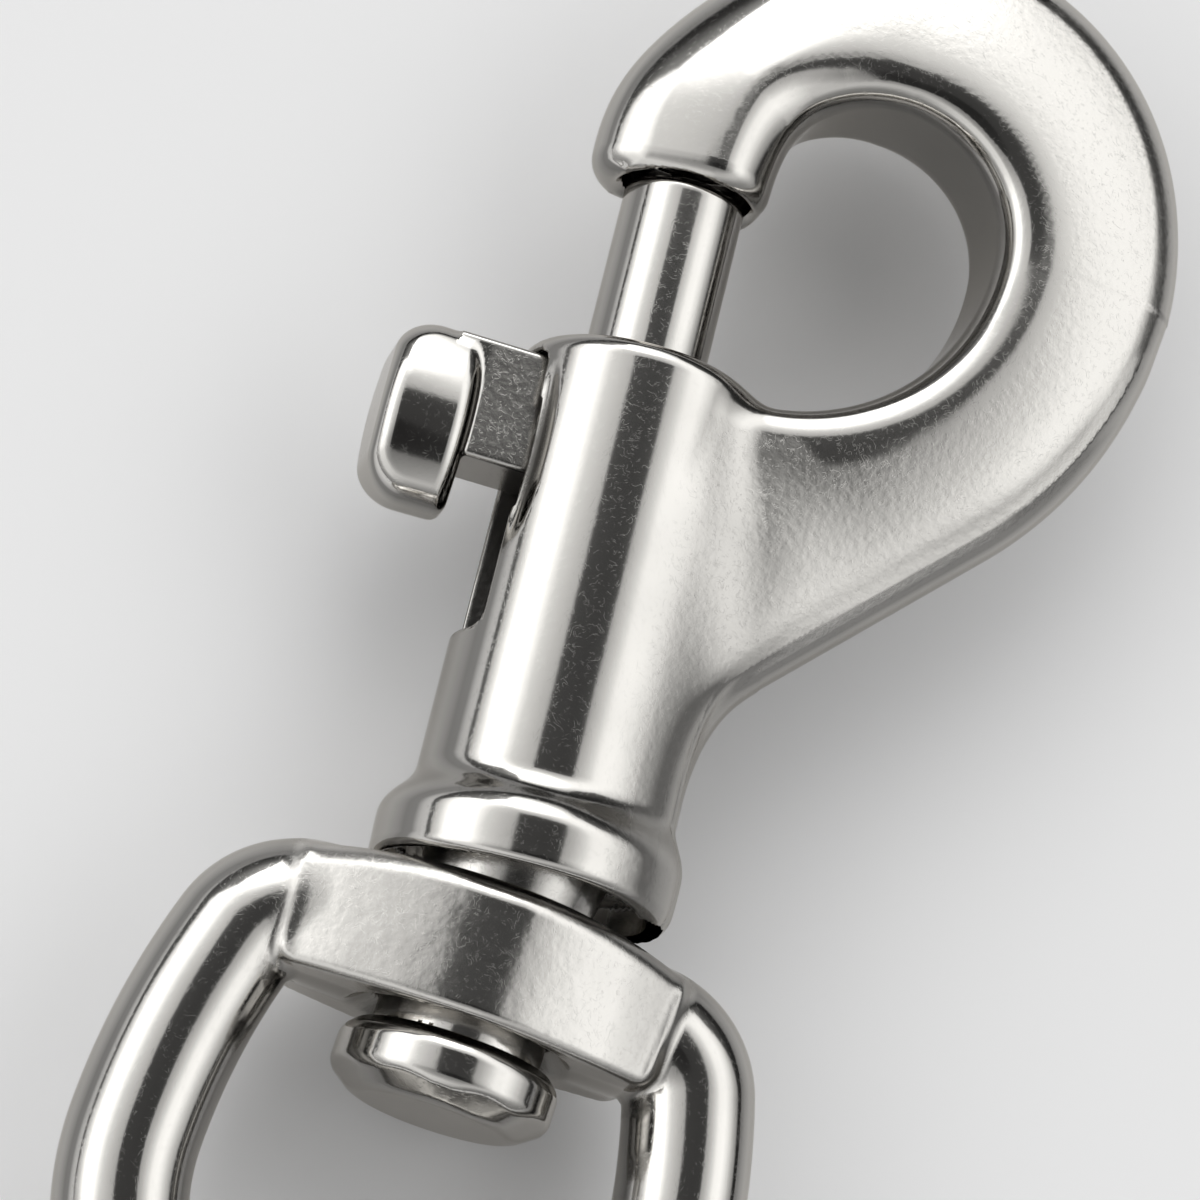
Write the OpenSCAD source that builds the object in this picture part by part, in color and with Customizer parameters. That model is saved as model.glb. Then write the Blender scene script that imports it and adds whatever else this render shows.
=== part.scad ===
// Swivel snap hook: a cast hook with a spring-loaded bolt gate and a swivelling eye.
// Origin: centre of the gate opening, on the bolt's axis. +Y runs along the bolt towards
// the nose of the hook, +X towards the bow of the hook, +Z up from the surface it lies on.

/* [Gate and bolt] */
// Clear height of the gate, from the barrel's top to the nose
gate_gap = 9.3; // [8:0.1:12]
// Diameter of the bolt
bolt_d = 6.1; // [5:0.1:6.4]
// Radial clearance of the bolt in its bore
bolt_clearance = 0.08; // [0.05:0.01:0.1]
// Radius on the bolt's end
bolt_end_r = 0.7; // [0.3:0.1:1]
// How far the bolt's end stands in the nose's pocket
bolt_seat = 0.45; // [0.2:0.05:0.8]
// How far the bolt reaches into the barrel when the gate is closed
bolt_tail = 8.4; // [7:0.1:9]
// Travel of the bolt when the knob is pulled
bolt_travel = 8; // [6:0.1:8.4]

/* [Barrel and collar] */
// Diameter of the barrel
barrel_d = 11.9; // [11.6:0.1:13]
// Length of the barrel, from its top to the collar's lower face
barrel_len = 26.8; // [26:0.1:30]
// Radius on the barrel's top edge
barrel_top_r = 1; // [0.5:0.1:1.5]
// Diameter of the collar
collar_d = 14.6; // [14:0.1:16]
// Height of the collar's straight band
collar_band = 2.2; // [2:0.1:3]
// Radius on the collar's shoulder
shoulder_r = 1; // [0.6:0.1:1.4]
// Radius of the hollow flare between shoulder and barrel
flare_r = 1.8; // [1:0.1:2.5]
// Radius on the collar's lower edge
rim_r = 0.45; // [0.2:0.05:0.6]
// Wall of the collar round its open underside
collar_wall = 0.7; // [0.6:0.05:1]
// Depth of the hollow in the collar's underside
collar_hollow = 1.3; // [0.8:0.1:1.4]

/* [Hook] */
// Width of the hook's opening, from the nose to the side of the bow
loop_w = 11.8; // [11:0.1:14]
// Inner radius of the upper half of the hook
bow_r = 6.2; // [5.6:0.1:6.8]
// Height of the bow's centre above the nose's lower face
bow_rise = 1.1; // [1:0.1:2.5]
// How far the bowl's lowest point lies below the barrel's top
bowl_drop = 0.65; // [0.4:0.05:1.2]
// Width of the hook's bar at its side
bar_w = 10.05; // [9.6:0.05:11]
// Width of the bar at the upper outer corner of the bow
bar_corner_w = 11.2; // [10.6:0.1:12]
// Width of the bar where it runs down into the web
bar_web_w = 9.6; // [9:0.1:10.4]
// Thickness of the bar at its crest
bar_t = 8.2; // [7.6:0.1:9]
// Width of the nose that the bolt meets
nose_w = 8.9; // [8.4:0.1:10]
// Radius on the nose's lower edges
nose_end_r = 1; // [0.5:0.1:1]
// Wall of the nose between its pocket and the hook's opening
nose_wall = 0.65; // [0.5:0.05:0.9]
// Depth of the pocket in the nose
pocket_depth = 2.6; // [1.5:0.1:3.2]
// Radial clearance of the bolt in the pocket
pocket_clearance = 0.2; // [0.1:0.05:0.3]
// How far the casting's rib stands out from the barrel's side
rib_out = 0.7; // [0.4:0.1:1]
// Thickness of the rib
rib_t = 4; // [3:0.1:5]
// Radius of the rib's hollow curve from the barrel into the web
rib_fillet = 9.7; // [5:0.1:11]

/* [Thumb knob] */
// Length of the button along the bolt
button_len = 9.3; // [8:0.1:12]
// Height of the button, from its inner face to the thumb's face
button_h = 4.5; // [3.6:0.1:6]
// Width of the button
button_w = 6.4; // [5:0.1:8]
// How far the button's middle lies below the neck's middle
button_drop = 1.3; // [0:0.1:1.4]
// Radius of the button's crowned front and back
crown_r = 8; // [7:0.5:16]
// Edge radius of the button
button_r = 1.6; // [1:0.1:1.8]
// Distance from the bolt's axis to the button's inner face
button_out = 7.9; // [7.5:0.1:9]
// Length of the neck along the bolt
neck_len = 6.1; // [5:0.1:7]
// Thickness of the neck
neck_t = 4.4; // [3.6:0.1:4.8]
// Clearance of the neck at the slot's ends
neck_clearance = 0.15; // [0.1:0.05:0.3]
// Diameter of the stem that is pressed into the bolt
stem_d = 2.8; // [2.4:0.1:2.9]
// Length of the stem inside the bolt
stem_in = 4.2; // [3:0.1:4.5]
// Height of the bridge that closes the slot at its top
slot_bridge = 0.95; // [0.5:0.05:1.1]
// Width of the slot
slot_w = 5.8; // [5.6:0.1:6]

/* [Spring] */
// Diameter of the spring's wire
wire_d = 0.6; // [0.4:0.05:0.7]
// Outer diameter of the spring
spring_d = 5.6; // [4.6:0.1:5.8]
// Turns of the spring
spring_turns = 7; // [5:1:8]
// Gap between the spring and what it bears on
spring_gap = 0.1; // [0.05:0.05:0.2]

/* [Swivel pin] */
// Diameter of the pin's shank
shank_d = 9.1; // [8:0.1:9.2]
// Diameter of the flange that holds the pin in the barrel
flange_d = 10.3; // [10.2:0.02:10.4]
// Thickness of the flange
flange_t = 1.4; // [1:0.1:1.5]
// Clearance round the flange
flange_clearance = 0.26; // [0.2:0.02:0.28]
// Thickness of the lip that the flange rests on
lip_t = 1.1; // [0.8:0.1:1.2]
// Clearance of the leaning shank in the lip
lip_clearance = 0.12; // [0.08:0.01:0.15]
// Lean of the loose pin from the barrel's axis when the hook lies at rest
pin_lean = 4.5; // [0:0.1:4.6]
// Diameter of the pin's head
head_d = 10.9; // [10:0.1:12]
// Height of the pin's head
head_h = 3.4; // [2.5:0.1:4.5]
// Chamfer on both edges of the head
head_chamfer = 0.65; // [0.3:0.05:1]
// Play of the eye between the head and the collar
head_gap = 0.7; // [0.3:0.05:1]

/* [Swivel eye] */
// Gap between the eye's boss and the collar on the side it leans to
eye_gap = 0.15; // [0.1:0.05:0.4]
// Height of the boss along the pin
boss_h = 6.75; // [6.5:0.05:8]
// Thickness of the boss across the pin
boss_t = 12.2; // [12:0.1:13]
// Radius of the boss's front and back faces
boss_face_r = 18; // [14:0.5:24]
// Width of the boss between its flat ends
boss_w = 18.6; // [17.5:0.1:19]
// Radial clearance of the shank in the boss
shank_clearance = 0.1; // [0.05:0.01:0.1]
// Radius of the countersunk mouth under the boss
mouth_r = 5.6; // [5:0.1:5.8]
// Diameter of the eye's bar
eye_bar_d = 6.5; // [5.5:0.1:6.5]
// Clear width of the eye
eye_w = 19.5; // [18:0.1:24]
// Inner radius of the eye's upper corners
eye_corner_in = 0.15; // [0.1:0.05:0.6]
// How far the corners' centres lie inside the line of the bar at the eye's widest place
eye_shoulder = 4.75; // [4.4:0.05:5.5]
// Distance from the top bar's centre down to the centre of the round bottom
eye_drop = 12.5; // [11:0.1:16]

/* [Hidden] */
$fn = 48;
eps = 0.02;

nickel = [0.78, 0.77, 0.75];
spring_steel = [0.5, 0.5, 0.52];

// Levels along the bolt's axis
nose_y = gate_gap / 2;
barrel_top = -gate_gap / 2;
collar_y = barrel_top - barrel_len;
lip_y = collar_y + collar_hollow;
chamber_y = lip_y + lip_t;
flange_rise = flange_d / 2 * sin(pin_lean);
chamber_h = flange_t + 2 * (flange_rise + flange_clearance);
pivot_y = chamber_y + chamber_h / 2;

// Bolt and bores
bolt_r = bolt_d / 2;
barrel_r = barrel_d / 2;
collar_r = collar_d / 2;
bore_r = bolt_r + bolt_clearance;
pocket_r = bolt_r + pocket_clearance;
bolt_top = nose_y + bolt_seat;
bolt_bottom = barrel_top - bolt_tail;
chamber_r = flange_d / 2 + flange_clearance;
lip_r = shank_d / 2 / cos(pin_lean) + (pivot_y - lip_y) * tan(pin_lean) + lip_clearance;

// Knob and its slot
neck_top = barrel_top - slot_bridge - neck_clearance;
neck_bottom = neck_top - neck_len;
neck_mid = neck_top - neck_len / 2;
slot_bottom = neck_bottom - bolt_travel - neck_clearance;

// Hook: an upper bow and a wider bowl below it, which meet at the hook's side
nose_in_x = pocket_r + nose_wall;
bow = [nose_in_x + loop_w - bow_r, nose_y + bow_rise];
bowl_r = bow.y - barrel_top + bowl_drop;
bowl = [bow.x + bow_r - bowl_r, bow.y];
web_r = bowl_r + bar_web_w;
web_turn = 45;
station_step = 7.5;
rib_run = 8;
rib_sink = 1.1;
crest_share = 0.21;
section_shares = [0, 0.02, 0.06, 0.12, crest_share, 0.32, 0.44, 0.56, 0.68, 0.79, 0.88, 0.95, 0.99];

// Width of the bar by its direction from the bow's centre: 0 is the side, 180 the nose
bow_widths = [
    [0, bar_w],
    [30, (bar_w + bar_corner_w) / 2 + 0.1],
    [62, bar_corner_w],
    [90, bar_corner_w - 0.7],
    [115, nose_w + 0.4],
    [140, nose_w - 0.3],
    [180, nose_w]
];

// Eye, in the pin's own frame with the pivot at its origin
boss_top = (collar_y - pivot_y - eye_gap + collar_r * sin(-pin_lean)) / cos(pin_lean);
boss_bottom = boss_top - boss_h;
boss_mid = boss_top - boss_h / 2;
head_top = boss_bottom - head_gap;
eye_bar_r = eye_bar_d / 2;
eye_half = eye_w / 2 + eye_bar_r;
corner_r = eye_bar_r + eye_corner_in;
corner_up = eye_drop - corner_r;
side_r = (eye_shoulder * eye_shoulder + corner_up * corner_up - corner_r * corner_r)
    / (2 * (eye_shoulder - corner_r));
side_angle = atan2(corner_up, side_r - eye_shoulder);

function arc(c, r, a, b, n = 6) =
    [for (i = [0:n]) c + r * [cos(a + (b - a) * i / n), sin(a + (b - a) * i / n)]];

// Half thickness of the hook's bar across its width, as a share of the crest's
function section_z(s) = s < crest_share
    ? 0.5 + 0.5 * sqrt(1 - pow(1 - s / crest_share, 2))
    : sqrt(1 - pow((s - crest_share) / (1 - crest_share), 1.5));

section = concat(
    [for (s = section_shares) [s, section_z(s)]],
    [[1, 0]],
    [for (i = [len(section_shares) - 1:-1:0]) [section_shares[i], -section_z(section_shares[i])]]
);

// A station of the bar: point on its inner line, direction across, width, half thickness
function across(c, r, a, w) = [c + r * [cos(a), sin(a)], [cos(a), sin(a)], w, bar_t / 2];
function bow_in(a) = a > 90 ? min(bow_r, (bow.x - nose_in_x) / abs(cos(a))) : bow_r;
function bowl_out(a) = a < -web_turn
    ? web_r / cos(a + web_turn)
    : web_r + (bar_w - bar_web_w) * pow((a + web_turn) / web_turn, 2);
function nose_station(a, inset) =
    [[nose_in_x - inset, nose_y + nose_end_r * (1 - cos(a))], [-1, 0], nose_w - 2 * inset, bar_t / 2 - inset];

stations = concat(
    [for (a = [0:22.5:67.5]) nose_station(a, nose_end_r * (1 - sin(a)))],
    [for (a = [180:-station_step:0]) across(bow, bow_in(a), a, lookup(a, bow_widths))],
    [for (a = [-station_step:-station_step:-90]) across(bowl, bowl_r, a, bowl_out(a) - bowl_r)],
    [[[bolt_r / 4, bowl.y - bowl_r], [0, -1], bowl_out(-90) - bowl_r, bar_t / 2]]
);

function ring(st) =
    [for (p = section) let (q = st[0] + st[1] * st[2] * p.x) [q.x, q.y, st[3] * p.y]];

// Skin over a row of rings that have the same number of points, with end caps unless it closes
module skin(rings, closed = false) {
    n = len(rings[0]);
    m = len(rings);
    sides = [
        for (j = [0:closed ? m - 1 : m - 2]) for (i = [0:n - 1])
        let (a = j * n + i, b = j * n + (i + 1) % n, c = (j + 1) % m * n + i, d = (j + 1) % m * n + (i + 1) % n)
        each [[a, b, d], [a, d, c]]
    ];
    ends = closed ? [] : [[for (i = [n - 1:-1:0]) i], [for (i = [0:n - 1]) (m - 1) * n + i]];
    polyhedron([for (r = rings) for (p = r) p], concat(sides, ends));
}

// Solid turned about the Y axis from points of radius and level
module turned(profile) {
    rotate([-90, 0, 0]) rotate_extrude() polygon(profile);
}

// Rod along Y, from one level to another
module rod(r, y1, y2) {
    translate([0, y1, 0]) rotate([-90, 0, 0]) cylinder(r = r, h = y2 - y1);
}

// Block with all edges rounded, between two corners
module rounded_block(low, high, r) {
    hull() for (x = [low.x + r, high.x - r], y = [low.y + r, high.y - r], z = [low.z + r, high.z - r])
        translate([x, y, z]) sphere(r = r, $fn = 24);
}

// The loose pin and the eye on it lean together
module leaning() {
    translate([0, pivot_y, 0]) rotate([0, 0, -pin_lean]) children();
}

// Outside of barrel and collar
module barrel_form() {
    step = collar_r - barrel_r;
    reach = shoulder_r + flare_r;
    rise = sqrt(reach * reach - (reach - step) * (reach - step));
    turn = atan2(rise, reach - step);
    band_y = collar_y + collar_band;
    turned(concat(
        [[0, collar_y]],
        arc([collar_r - rim_r, collar_y + rim_r], rim_r, -90, 0, 4),
        arc([collar_r - shoulder_r, band_y], shoulder_r, 0, turn),
        arc([barrel_r + flare_r, band_y + rise], flare_r, 180 + turn, 180),
        arc([barrel_r - barrel_top_r, barrel_top - barrel_top_r], barrel_top_r, 0, 90),
        [[0, barrel_top]]
    ));
}

// Rib of the casting along the barrel's side, curving out into the web's lower edge
module rib() {
    rib_x = barrel_r + rib_out;
    fillet_x = rib_x + rib_fillet;
    fillet_y = fillet_x - bowl.x + bowl.y - sqrt(2) * (web_r + rib_fillet);
    inner_x = barrel_r - 2;
    edge = arc([fillet_x, fillet_y], rib_fillet, 180, 180 - web_turn, 8);
    web_end = edge[8] + [rib_run - rib_sink, rib_run + rib_sink];
    linear_extrude(height = rib_t, center = true)
        polygon(concat([[inner_x, collar_y + collar_band], [rib_x, collar_y + collar_band]], edge,
            [web_end, [inner_x, web_end.y]]));
}

// Bores for bolt, spring and pin, all on the barrel's axis
module barrel_bores() {
    rod(collar_r - collar_wall, collar_y - 1, lip_y);
    rod(lip_r, lip_y - eps, chamber_y + eps);
    rod(chamber_r, chamber_y, chamber_y + chamber_h);
    rod(bore_r, chamber_y, barrel_top + 1);
    rod(pocket_r, nose_y - 1, nose_y + pocket_depth);
}

// Slot that the knob's neck runs in
module knob_slot() {
    translate([-barrel_r - 1, slot_bottom, -slot_w / 2])
        cube([barrel_r, neck_top + neck_clearance - slot_bottom, slot_w]);
}

module hook_body() {
    color(nickel) difference() {
        union() {
            barrel_form();
            skin([for (st = stations) ring(st)]);
            rib();
        }
        barrel_bores();
        knob_slot();
    }
}

module bolt() {
    color(nickel) difference() {
        turned(concat(
            [[0, bolt_bottom], [bolt_r, bolt_bottom]],
            arc([bolt_r - bolt_end_r, bolt_top - bolt_end_r], bolt_end_r, 0, 90),
            [[0, bolt_top]]
        ));
        translate([-bolt_r - 1, neck_mid, 0]) rotate([0, 90, 0]) cylinder(d = stem_d, h = stem_in + 1);
    }
}

module bolt_spring() {
    steps = 14;
    sides = 8;
    coil_r = (spring_d - wire_d) / 2;
    bottom = pivot_y + flange_t / 2 + spring_d / 2 * sin(pin_lean) + spring_gap + wire_d / 2;
    top = bolt_bottom - spring_gap - wire_d / 2;
    color(spring_steel) skin([
        for (i = [0:spring_turns * steps])
        let (a = 360 * i / steps, y = bottom + (top - bottom) * i / (spring_turns * steps))
        [
            for (k = [0:sides - 1])
            let (b = -360 * k / sides, r = coil_r + wire_d / 2 * cos(b))
            [r * cos(a), y + wire_d / 2 * sin(b), -r * sin(a)]
        ]
    ]);
}

// Round bar along X that crowns one side of the button
module button_crown(y, z) {
    translate([-button_out - button_h - 1, y, z]) rotate([0, 90, 0])
        cylinder(r = crown_r, h = button_h + 2, $fn = 96);
}

module thumb_knob() {
    inner = -bolt_r - neck_clearance;
    button_mid = neck_mid - button_drop;
    color(nickel) union() {
        intersection() {
            rounded_block(
                [-button_out - button_h, button_mid - button_len / 2, -button_w / 2],
                [-button_out, button_mid + button_len / 2, button_w / 2],
                button_r
            );
            button_crown(button_mid, button_w / 2 - crown_r);
            button_crown(button_mid, crown_r - button_w / 2);
        }
        translate([-button_out - button_r, neck_bottom, -neck_t / 2])
            cube([button_out + button_r + inner, neck_len, neck_t]);
        translate([inner - 1, neck_mid, 0]) rotate([0, 90, 0])
            cylinder(d = stem_d, h = stem_in - bolt_r - inner + 1);
    }
}

module swivel_pin() {
    head_r = head_d / 2;
    head_bottom = head_top - head_h;
    color(nickel) leaning() {
        rod(flange_d / 2, -flange_t / 2, flange_t / 2);
        rod(shank_d / 2, head_top - eps, 0);
        turned([
            [0, head_bottom], [head_r - head_chamfer, head_bottom], [head_r, head_bottom + head_chamfer],
            [head_r, head_top - head_chamfer], [head_r - head_chamfer, head_top], [0, head_top]
        ]);
    }
}

// Half of the eye's centre line as arcs of centre, radius and direction, from bottom to top
eye_stations = concat(
    [for (a = [-90:10:-10]) [[0, boss_mid - eye_drop], eye_half, a]],
    [for (i = [0:4]) [[eye_half - side_r, boss_mid - eye_drop], side_r, side_angle * i / 4]],
    [for (i = [1:8]) [[eye_half - eye_shoulder, boss_mid - corner_r], corner_r, side_angle + (90 - side_angle) * i / 8]]
);

// Ring of the bar's outline at a station, on the right side (1) or the left (-1)
function bar_ring(st, side) = [
    for (k = [0:23])
    let (b = 15 * k, r = st[1] + eye_bar_r * cos(b))
    [side * (st[0].x + r * cos(st[2])), st[0].y + r * sin(st[2]), eye_bar_r * sin(b)]
];

module eye_ring() {
    last = len(eye_stations) - 1;
    skin(concat(
        [for (i = [0:last]) bar_ring(eye_stations[i], 1)],
        [for (i = [last:-1:1]) bar_ring(eye_stations[i], -1)]
    ), closed = true);
}

// Boss between two curved faces and two flat ends
module eye_boss() {
    back = boss_face_r - boss_t / 2;
    intersection() {
        translate([0, 0, -back]) rod(boss_face_r, boss_bottom, boss_top);
        translate([0, 0, back]) rod(boss_face_r, boss_bottom, boss_top);
        translate([-boss_w / 2, boss_bottom, -boss_t / 2]) cube([boss_w, boss_h, boss_t]);
    }
}

module swivel_eye() {
    hole_r = shank_d / 2 + shank_clearance;
    color(nickel) leaning() difference() {
        union() {
            eye_ring();
            eye_boss();
        }
        rod(hole_r, boss_bottom - 1, boss_top + 1);
        turned([
            [0, boss_bottom - eps], [mouth_r + eps, boss_bottom - eps], [hole_r, boss_bottom + mouth_r - hole_r],
            [0, boss_bottom + mouth_r - hole_r]
        ]);
    }
}

hook_body();
bolt();
bolt_spring();
thumb_knob();
swivel_pin();
swivel_eye();
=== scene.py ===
"""Looks of the swivel snap hook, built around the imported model.

Lengths are in millimetres until a mesh is made.
"""

import math

import bpy
import numpy as np
from mathutils import Matrix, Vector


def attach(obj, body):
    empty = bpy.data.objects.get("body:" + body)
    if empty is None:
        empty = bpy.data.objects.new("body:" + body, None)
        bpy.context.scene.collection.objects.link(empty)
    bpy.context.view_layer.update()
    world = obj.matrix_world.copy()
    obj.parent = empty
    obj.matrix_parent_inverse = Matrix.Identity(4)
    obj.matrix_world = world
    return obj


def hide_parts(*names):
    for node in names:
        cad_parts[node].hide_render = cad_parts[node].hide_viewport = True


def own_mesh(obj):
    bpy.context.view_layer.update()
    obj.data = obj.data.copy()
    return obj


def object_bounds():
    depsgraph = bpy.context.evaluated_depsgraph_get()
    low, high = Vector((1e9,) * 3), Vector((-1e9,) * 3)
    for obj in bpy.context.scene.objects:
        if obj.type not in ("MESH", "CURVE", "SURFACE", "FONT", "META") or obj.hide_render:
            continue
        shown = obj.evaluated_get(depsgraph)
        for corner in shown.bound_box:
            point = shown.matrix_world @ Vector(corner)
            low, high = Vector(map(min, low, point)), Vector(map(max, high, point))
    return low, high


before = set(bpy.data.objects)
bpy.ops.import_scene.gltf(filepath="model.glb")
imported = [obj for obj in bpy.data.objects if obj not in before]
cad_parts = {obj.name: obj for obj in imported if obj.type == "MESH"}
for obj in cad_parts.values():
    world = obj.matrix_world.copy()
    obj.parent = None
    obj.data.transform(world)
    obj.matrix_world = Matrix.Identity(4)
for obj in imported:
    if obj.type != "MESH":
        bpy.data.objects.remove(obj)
cad_box = [list(corner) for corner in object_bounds()]

MM = 0.001

# Barrel and collar
BARREL_R = 5.95
BARREL_TOP = -4.65
BARREL_EDGE_R = 1.0
COLLAR_R = 7.24
COLLAR_Y = -31.45
COLLAR_EDGE_R = 0.5
COLLAR_FILLET = 1.7
SHOULDER_Y = -28.25
SHOULDER_R = 1.1
HOLLOW_R = 6.6
LIP_Y = -30.15
CHAMBER_Y = -29.05
PIVOT_Y = -27.686
BORE_R = 3.13
CHAMBER_R = 5.41
LIP_R = 4.88

# Gate, bolt and nose
NOSE_Y = 4.65
NOSE_IN = 3.9
NOSE_EDGE_R = 1.3
POCKET_R = 3.25
POCKET_TOP = 7.25
POCKET_FLARE = 0.5
BOLT_R = 3.05
BOLT_TOP = 5.1
BOLT_BOTTOM = -13.05

# Hook
BOW = (9.5, 5.75)
BOW_R = 6.2
BOWL_X = 4.65
BOWL_R = 11.05
WEB_R = 20.6
SIDE_EXTRA = 0.45
CREST_Z = 4.1
CREST_CURVE = 4.8
CREST_FLAT = 0.3
BOW_SOFT = 1.6
BOW_FALL = 1.5
BOW_EDGE_R = 0.8
INNER_EDGE_R = 0.9
SIDE_CURVE = 6
WEB_LOW = 1.9
WEB_RIM = 1.65
FILLET = (16.35, -25.47)
FILLET_R = 9.7
RIB_X = 6.65
RIB_Z = 2.0
RIM_WIDTH = 1.8
RIM_SLOPE = 0.7
RIM_EDGE_R = 0.5
RIM_SOFT = 0.35
LIFT = 0.35
LIFT_X = 7
LIFT_WIDTH = 3.5
BAR_START_X = 2.8
CUT_EDGE_R = 0.2

# Knob and slot
NECK_MID = -8.8
NECK_HALF = 3.05
NECK_Z = 2.2
SLOT_LOW = -20.0
SLOT_HIGH = -5.6
SLOT_Z = 2.9
SLOT_EDGE_R = 0.9
SCOOP_R = 1.6
SCOOP_DEPTH = 0.3
SCOOP_TURN = 54.0
SCOOP_Y = -11.05
SCOOP_HALF = 4.4
BUTTON_IN = -7.9
BUTTON_OUT = -12.4
BUTTON_MID = -10.1
BUTTON_HALF = 4.65
BUTTON_Z = 3.2
CROWN_R = 8.0
CROWN_EDGE_R = 1.0
STEM_R = 1.4
STEM_IN = 1.1

# Pin and eye, along the leaning pin from its pivot
LEAN = 4.5
SHANK_R = 4.55
FLANGE_R = 5.15
FLANGE_HALF = 0.7
HEAD_R = 5.45
HEAD_TOP = -11.95
HEAD_LOW = -15.35
HEAD_BEVEL = 0.65
BOSS_TOP = -4.50
BOSS_LOW = -11.25
BOSS_MID = -7.875
BOSS_FACE = 6.1
BOSS_U = -0.5
BOSS_HALF = 9.8
BOSS_FLARE = 0.09
BOSS_EDGE_R = 1.25
BOSS_END_R = 1.1
BOSS_CORNER_R = 0.55
BOSS_FILLET = 0.6
MOUTH_R = 5.6
EYE_R = 3.2
EYE_HALF = 13.0
EYE_END = -20.375
CORNER = (8.25, -11.275)
CORNER_R = 3.4
SIDE_R = 34.74
SIDE_TURN = 16.9
FACETS = ((-78, 0.1), (-30, 0.04), (16, 0.08), (60, 0.12), (108, 0.06), (160, 0.1), (-130, 0.08))

# Spring
SPRING_LOW = -26.38
SPRING_HIGH = -13.45
SPRING_R = 2.5
SPRING_WIRE = 0.3
SPRING_TURNS = 7


def outer_round(a, b, r):
    """Where two solids cross, with a rounded outer edge."""
    return np.minimum(np.maximum(a, b), -r) + np.hypot(np.maximum(a + r, 0), np.maximum(b + r, 0))


def hollow_round(a, b, r):
    """Two solids as one, with a round fillet between them."""
    return np.maximum(np.minimum(a, b), r) - np.hypot(np.maximum(r - a, 0), np.maximum(r - b, 0))


def blend(a, b, k):
    """Two solids as one, with a soft blend of width k."""
    h = np.clip(0.5 + 0.5 * (b - a) / k, 0, 1)
    return b + (a - b) * h - k * h * (1 - h)


def ease(t):
    t = np.clip(t, 0, 1)
    return t * t * (3 - 2 * t)


def slope_of(field, p, h):
    """Value and gradient of a field at points."""
    x, y, z = p.T
    gradient = [
        (field(x + dx, y + dy, z + dz) - field(x - dx, y - dy, z - dz)) / (2 * h)
        for dx, dy, dz in ((h, 0, 0), (0, h, 0), (0, 0, h))
    ]
    return field(x, y, z), np.stack(gradient, 1)


def settle(field, p, rounds):
    """Points moved on to the surface where the field is zero."""
    for _ in range(rounds):
        value, gradient = slope_of(field, p, 0.01)
        step = value / np.maximum((gradient**2).sum(1), 0.05)
        p = p - np.clip(step, -0.3, 0.3)[:, None] * gradient
    return p


def nets(field, low, high, step):
    """Vertices and quads of the surface where the field is zero, one vertex in each cell that it crosses."""
    axes = [np.arange(a - 1.6 * step, b + 2.6 * step, step) for a, b in zip(low, high)]
    shape = [len(a) for a in axes]
    f = np.empty(shape)
    for start in range(0, shape[0], 32):
        part = np.meshgrid(axes[0][start : start + 32], axes[1], axes[2], indexing="ij")
        f[start : start + 32] = field(*part)
    inside = f < 0
    corners = [(i, j, k) for i in (0, 1) for j in (0, 1) for k in (0, 1)]
    n = [s - 1 for s in shape]
    count = sum(inside[i : i + n[0], j : j + n[1], k : k + n[2]].astype(np.int8) for i, j, k in corners)
    cells = np.argwhere((count > 0) & (count < 8))
    index = np.full(n, -1)
    index[tuple(cells.T)] = np.arange(len(cells))
    total = np.zeros((len(cells), 3))
    hits = np.zeros(len(cells))
    for a in corners:
        for b in corners:
            if sum(b) - sum(a) != 1 or any(q < p for p, q in zip(a, b)):
                continue
            fa = f[tuple((cells + a).T)]
            fb = f[tuple((cells + b).T)]
            cross = (fa < 0) != (fb < 0)
            t = np.where(cross, fa / np.where(cross, fa - fb, 1), 0)
            place = np.array(a) + t[:, None] * (np.array(b) - np.array(a))
            total += np.where(cross[:, None], place, 0)
            hits += cross
    vertices = np.array([a[0] for a in axes]) + step * (cells + total / hits[:, None])
    quads = []
    for d in range(3):
        a, b = (d + 1) % 3, (d + 2) % 3
        first = np.take(inside, range(shape[d] - 1), d)
        second = np.take(inside, range(1, shape[d]), d)
        edges = np.argwhere(first != second)
        clear = (edges[:, a] > 0) & (edges[:, b] > 0) & (edges[:, a] < n[a]) & (edges[:, b] < n[b])
        edges = edges[clear]
        ea, eb = np.eye(3, dtype=int)[a], np.eye(3, dtype=int)[b]
        ring = [index[tuple(c.T)] for c in (edges - ea - eb, edges - eb, edges, edges - ea)]
        ring = np.stack(ring, 1)
        out = first[tuple(edges.T)]
        quads.append(np.where(out[:, None], ring, ring[:, ::-1]))
    return vertices, np.concatenate(quads)


def relax(vertices, quads):
    """Each vertex moved half way to the middle of its neighbours."""
    total = np.zeros_like(vertices)
    hits = np.zeros(len(vertices))
    for i in range(4):
        for j in (i - 1, (i + 1) % 4):
            np.add.at(total, quads[:, i], vertices[quads[:, j]])
            np.add.at(hits, quads[:, i], 1)
    return 0.5 * vertices + 0.5 * total / hits[:, None]


def new_object(name, vertices, faces, normals=None):
    mesh = bpy.data.meshes.new(name)
    mesh.from_pydata((vertices * MM).tolist(), [], faces.tolist() if hasattr(faces, "tolist") else faces)
    mesh.shade_smooth()
    if normals is not None:
        mesh.normals_split_custom_set_from_vertices(normals.tolist())
    mesh.validate()
    obj = bpy.data.objects.new(name, mesh)
    bpy.context.scene.collection.objects.link(obj)
    return obj


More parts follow.
